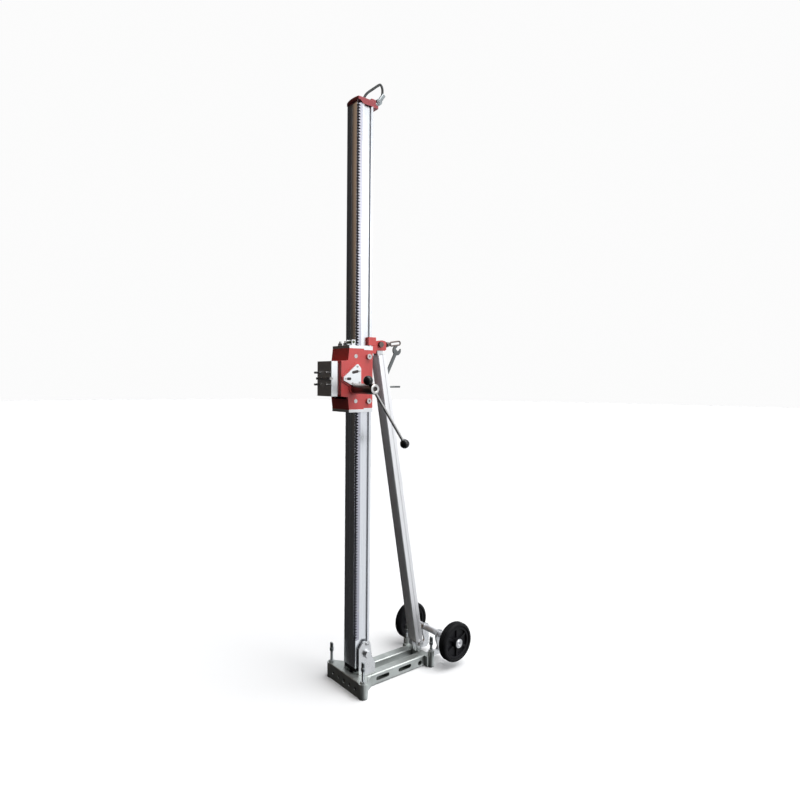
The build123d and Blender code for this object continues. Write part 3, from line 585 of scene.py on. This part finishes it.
low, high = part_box("axle")
middle = (low + high) / 2
reach, thick = (high.x - low.x) / 2, (high.z - low.z) / 2
half_axle = [                       # from the drilled end, past the hub and the arm's groove
    (reach - 0.006, 0.0), (reach - 0.004, 0.0048), (reach - 0.001, 0.0050), (reach, 0.0062),
    (reach, 0.0088), (reach - 0.001, 0.0100), (0.1125, 0.0100), (HUB_X, thick - 0.001),
    (0.111, thick), (0.049, thick), (0.0485, thick - 0.0006), (0.0335, thick - 0.0006),
    (0.033, thick), (0, thick),
]
right_half = lathe(half_axle, middle, (1, 0, 0), 56)
left_half = lathe(half_axle, middle, (-1, 0, 0), 56)
piece("turned_axle", *gather([right_half, left_half]), "base", "zinc", AXLE_STEEL,
      stands_for=("axle",))

low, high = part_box("axle_washers")
outer = (high.z - low.z) / 2
outer_washer = [
    (0.0001, 0.0102), (0, 0.0108), (0, 0.0120), (0.0007, 0.0128), (0.0007, 0.0142),
    (0.0001, 0.0150), (0.0004, outer - 0.0009), (0.0012, outer), (0.0024, outer),
    (0.0027, outer - 0.0004), (0.0027, 0.0102),
]
inner_washer = [
    (0, 0.0102), (0, outer - 0.0004), (0.0004, outer), (0.0023, outer),
    (0.0027, outer - 0.0004), (0.0027, 0.0102),
]
washers = []
for s in (-1, 1):
    outer_face = Vector((s * (high.x - low.x) / 2, middle.y, middle.z))
    inner_face = Vector((s * HUB_X, middle.y, middle.z))
    washers.append(lathe(outer_washer, outer_face, (-s, 0, 0), 56, closed=True))
    washers.append(lathe(inner_washer, inner_face, (s, 0, 0), 56, closed=True))
piece("hub_washers", *gather(washers), "base", "zinc", stands_for=("axle_washers",))


# ------------------------------------------------------------------ feed shaft end, knob collars
low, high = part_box("feed_shaft")
shaft_y, shaft_z = (low.y + high.y) / 2, (low.z + high.z) / 2
end = Vector((high.x, shaft_y, shaft_z))
rim = (high.z - low.z) / 2
ring = lathe(
    [(-0.0004, 0.0078), (0.0004, 0.0084), (0.0007, 0.0095), (0.0007, rim - 0.0030),
     (0.0002, rim - 0.0016), (-0.0004, rim - 0.0014)],
    end, (1, 0, 0), 64, closed=True,
)
piece("bright_end_ring", *ring, "feed_shaft", "bolt_steel")
# Painted shade: a dark disc sunk a few millimetres into the end bore stands for the shade inside
# the hole. It is not a washer.
bore_shade_disc = lathe(
    [(-0.0038, 0.0), (-0.0036, 0.0070), (-0.0030, 0.0074), (-0.0024, 0.0070), (-0.0028, 0.0)],
    end, (1, 0, 0), 40,
)
piece("painted_bore_shade", *bore_shade_disc, "feed_shaft", "dark_steel", RECESS_SHADE)

low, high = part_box("bar_knobs")
ball = (high.x - low.x) / 2
x = (low.x + high.x) / 2
upper = Vector((x, low.y + ball, high.z - ball))
lower = Vector((x, high.y - ball, low.z + ball))
along_bar = (lower - upper).normalized()
# the collars end close to the balls, so that the upper one stays clear of the feed shaft
collar_profile = [
    (ball * 0.88, 0.0052), (ball * 0.88, 0.0082), (ball * 0.95, 0.0079), (ball * 0.99, 0.0072),
    (ball * 1.01, 0.0062), (ball * 1.01, 0.0052),
]
collars = [
    lathe(collar_profile, upper, along_bar, 40, closed=True),
    lathe(collar_profile, lower, -along_bar, 40, closed=True),
]
piece("knob_collars", *gather(collars), "tommy_bar", "knob_black")


# ------------------------------------------------------------------ painted recess shade on the gearbox cover
RECESS_SHADE_BACK, RECESS_SHADE_FRONT, RECESS_SHADE_BEVEL = -0.0003, 0.0002, 0.0001      # from the cover's face
RECESS_SHADES = (                          # how far in from the cover's corner, length, width, turn
    (0.0245, 0.0265, 0.0280, 0.0100, math.radians(12)),
    (0.0505, 0.0505, 0.0185, 0.0095, 0.0),
)


def slab(outline, x0, x1, inset):
    """A plate across X with a small bevel round its outer face."""
    count = len(outline)
    mid_y = sum(p[0] for p in outline) / count
    mid_z = sum(p[1] for p in outline) / count
    shrunk = [
        (y + inset * math.copysign(1, mid_y - y), z + inset * math.copysign(1, mid_z - z))
        for y, z in outline
    ]
    verts = [Vector((x0, y, z)) for y, z in outline]
    verts += [Vector((x1 - inset, y, z)) for y, z in outline]
    verts += [Vector((x1, y, z)) for y, z in shrunk]
    faces = []
    for level in (0, count):
        for k in range(count):
            j = (k + 1) % count
            faces.append((level + k, level + j, level + count + j, level + count + k))
    faces += [tuple(range(count)), tuple(range(2 * count, 3 * count))]
    return verts, faces


def stadium(y, z, length, width, turn):
    """Outline of a round-ended bar in (y, z)."""
    steps = 10
    points = []
    for side in (1, -1):
        for k in range(steps + 1):
            t = -math.pi / 2 + math.pi * k / steps
            a = side * ((length - width) / 2 + math.cos(t) * width / 2)
            b = side * math.sin(t) * width / 2
            points.append((y + a * math.cos(turn) - b * math.sin(turn),
                           z + a * math.sin(turn) + b * math.cos(turn)))
    return points


low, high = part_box("gearbox_cover")
corner_y, corner_z = high.y, high.z
# Flat dark sheets, barely proud of the cover's face: painted shade standing for shaded recesses
# in the cover.
recess_shades = []
for in_y, in_z, length, width, turn in RECESS_SHADES:
    outline = stadium(corner_y - in_y, corner_z - in_z, length, width, turn)
    recess_shades.append(slab(outline, high.x + RECESS_SHADE_BACK, high.x + RECESS_SHADE_FRONT, RECESS_SHADE_BEVEL))
piece("cover_recess_shades", *gather(recess_shades), "carriage", "dark_steel", RECESS_SHADE)


# ------------------------------------------------------------------ clamp handle
HANDLE_TILT = math.radians(8)
HANDLE_START = Vector((0, 0.101, 1.2349))
LOOP_MIDDLE = Vector((0, 0.167, 1.2442))
LOOP_ROD = 0.0030                   # half the loop rod's thickness
LOOP_HALF_WIDE = 0.007
LOOP_HALF_LONG = 0.0275 - LOOP_ROD - 0.007      # to the middle of each round end
ROD_SIDES = 14

handle_way = Vector((0, math.cos(HANDLE_TILT), math.sin(HANDLE_TILT)))
handle_side = Vector((0, -math.sin(HANDLE_TILT), math.cos(HANDLE_TILT)))
spindle = [(0, 0.0040), (0.0006, 0.0047)]
for k in range(10):
    spindle += [(0.001 + k * 0.002, 0.0050), (0.002 + k * 0.002, 0.0043)]
spindle += [(0.0218, 0.0046), (0.0222, 0.0090), (0.0235, 0.0100), (0.0290, 0.0098),
            (0.0300, 0.0088), (0.0330, 0.0086), (0.0420, 0.0060), (0.0440, 0.0048),
            (0.0460, 0.0030)]
loop_points = []
for side in (1, -1):
    for k in range(13):
        t = -math.pi / 2 + math.pi * k / 12
        loop_points.append(
            LOOP_MIDDLE + handle_way * side * (LOOP_HALF_LONG + math.cos(t) * LOOP_HALF_WIDE)
            + handle_side * side * math.sin(t) * LOOP_HALF_WIDE
        )
verts, faces = [], []
count = len(loop_points)
for i, p in enumerate(loop_points):
    ahead = (loop_points[(i + 1) % count] - loop_points[i - 1]).normalized()
    out = ahead.cross(Vector((1, 0, 0)))
    for k in range(ROD_SIDES):
        t = TAU * k / ROD_SIDES
        across = Vector((1, 0, 0)) * LOOP_ROD * 0.85 * math.cos(t)
        verts.append(p + across + out * LOOP_ROD * math.sin(t))
for i in range(count):
    a, b = i * ROD_SIDES, (i + 1) % count * ROD_SIDES
    for k in range(ROD_SIDES):
        j = (k + 1) % ROD_SIDES
        faces.append((a + k, a + j, b + j, b + k))
made = gather([lathe(spindle, HANDLE_START, handle_way, 40), (verts, faces)])
piece("clamp_screw_and_loop", *made, "clamp_handle", "bolt_steel", LOOKS["dark_steel"],
      stands_for=("clamp_handle",))


# ------------------------------------------------------------------ floor, light, camera
bpy.ops.mesh.primitive_circle_add(vertices=96, radius=30, fill_type="NGON")
floor = bpy.context.object
floor.name = "studio_floor"
pale = Finish("studio_floor", (0.86, 0.86, 0.86))
pale.rough(pale.span(pale.noise(3.0), 0.85, 0.95))
floor.data.materials.append(pale.material)
floor.visible_glossy = False
floor.visible_diffuse = False

world = bpy.data.worlds.new("studio")
bpy.context.scene.world = world
world.use_nodes = True
tree = world.node_tree
tree.nodes.clear()


def studio(kind, **settings):
    return new_node(tree, kind, **settings)


def facing(direction):
    """How far a direction points along the given one."""
    node = studio("ShaderNodeVectorMath", operation="DOT_PRODUCT")
    node.inputs[1].default_value = direction
    tree.links.new(where.outputs["Generated"], node.inputs[0])
    return node.outputs["Value"]


def ease(value, from_low, from_high, low, high):
    """Maps a value from one range to another with soft ends."""
    node = studio("ShaderNodeMapRange", interpolation_type="SMOOTHSTEP")
    set_range(node, from_low, from_high, low, high)
    tree.links.new(value, node.inputs["Value"])
    return node.outputs[0]


def glow(colour, strength=None):
    """A background shader, its strength another node's output if one is given."""
    node = studio("ShaderNodeBackground")
    node.inputs["Color"].default_value = (*colour, 1)
    if strength is not None:
        tree.links.new(strength, node.inputs["Strength"])
    return node.outputs[0]


# The room is bright to the right and behind, dim towards the front left, with one warm patch.
# The camera sees a plain pale backdrop instead of it.
where = studio("ShaderNodeTexCoord")
room_light = ease(facing((0.25, 1.0, 0.3)), -0.22, 0.5, 0.03, 0.92)
warm_light = ease(facing((-0.46, -0.79, 0.40)), 0.90, 0.988, 0.0, 0.5)
room = studio("ShaderNodeAddShader")
tree.links.new(glow((0.95, 0.97, 1.0), room_light), room.inputs[0])
tree.links.new(glow((0.62, 0.40, 0.24), warm_light), room.inputs[1])
path = studio("ShaderNodeLightPath")
choose = studio("ShaderNodeMixShader")
tree.links.new(path.outputs["Is Camera Ray"], choose.inputs[0])
tree.links.new(room.outputs[0], choose.inputs[1])
tree.links.new(glow((0.97, 0.97, 0.97)), choose.inputs[2])
tree.links.new(choose.outputs[0], studio("ShaderNodeOutputWorld").inputs["Surface"])


def lamp(name, kind, energy, direction):
    """A light that shines along a direction."""
    data = bpy.data.lights.new(name, kind)
    data.energy = energy
    obj = bpy.data.objects.new(name, data)
    bpy.context.scene.collection.objects.link(obj)
    obj.rotation_mode = "QUATERNION"
    obj.rotation_quaternion = direction.to_track_quat("-Z", "Y")
    return obj


KEY_PLACE, KEY_TARGET = Vector((3.4, 1.2, 2.4)), Vector((0, 0.1, 1.0))
key = lamp("key", "AREA", 32, KEY_TARGET - KEY_PLACE)
key.location = KEY_PLACE
key.data.shape = "DISK"
key.data.size = 1.8
sky = lamp("sky", "SUN", 2.4, Vector((-0.35, -0.25, -1.0)))
sky.data.angle = math.radians(50)

AZIMUTH, PITCH, ROLL = math.radians(50.9), math.radians(2.0), math.radians(0.54)
CAMERA_PLACE = (1.7423, -1.2227, 1.1102)
SENSOR_MM, LENS_MM = 36, 26.6

back = Vector((
    math.sin(AZIMUTH) * math.cos(PITCH), -math.cos(AZIMUTH) * math.cos(PITCH), math.sin(PITCH)
))
right = (-back).cross(Vector((0, 0, 1))).normalized()
up = right.cross(-back)
tilted_right = right * math.cos(ROLL) + up * math.sin(ROLL)
tilted_up = up * math.cos(ROLL) - right * math.sin(ROLL)
lens = bpy.data.cameras.new("camera")
lens.sensor_width = SENSOR_MM
lens.lens = LENS_MM
camera = bpy.data.objects.new("camera", lens)
bpy.context.scene.collection.objects.link(camera)
camera.rotation_mode = "QUATERNION"
camera.rotation_quaternion = Matrix((tilted_right, tilted_up, back)).transposed().to_quaternion()
camera.location = CAMERA_PLACE
bpy.context.scene.camera = camera
bpy.context.scene.view_settings.view_transform = "Standard"
